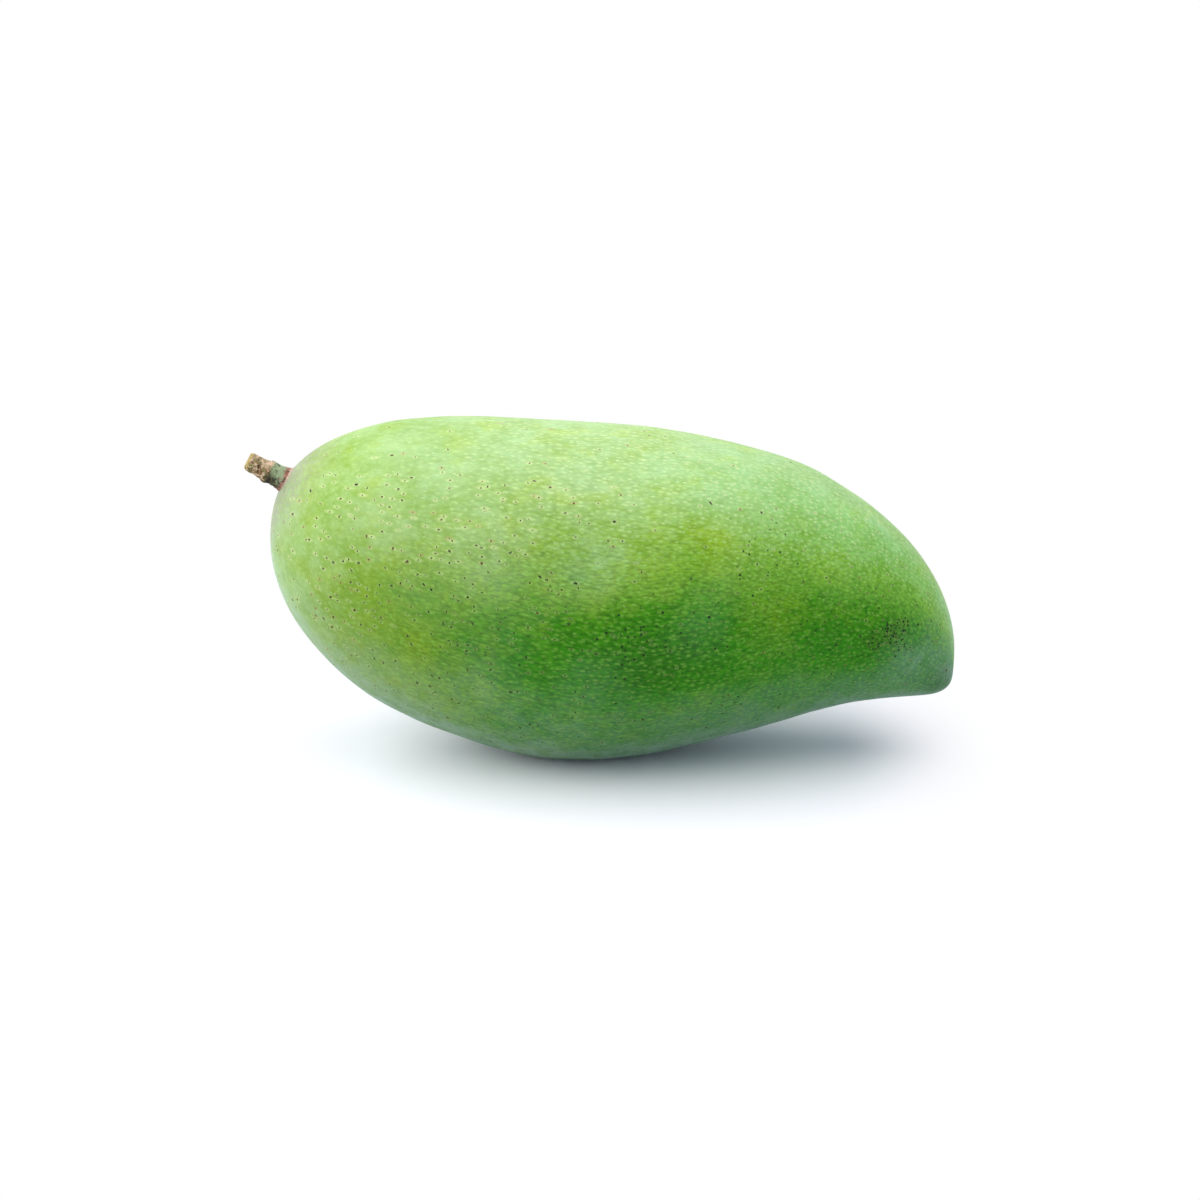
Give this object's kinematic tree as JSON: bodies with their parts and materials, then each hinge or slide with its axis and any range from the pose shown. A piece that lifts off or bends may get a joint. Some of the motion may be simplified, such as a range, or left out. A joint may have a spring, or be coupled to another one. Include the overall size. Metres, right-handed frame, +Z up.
{
  "type": "mango",
  "caption": "Whole green mango with a curved beak and a short cut stem, resting on its belly.",
  "frame": {"origin": "middle of the base of the bounding box, on the surface that the fruit rests on", "axes": "+X from the stem end to the beak, +Y across the fruit, +Z up; the fruit's plane of symmetry is y = 0"},
  "size_m": [0.1526, 0.069, 0.0732],
  "materials": {
    "skin": "smooth waxy green rind with pale pores, dark specks and a thin bloom",
    "bark": "dry olive-brown bark with a reddish collar and a fresh pale cut end"
  },
  "bodies": {
    "root": {"fruit": "skin", "stem": "bark"}
  },
  "joints": []
}
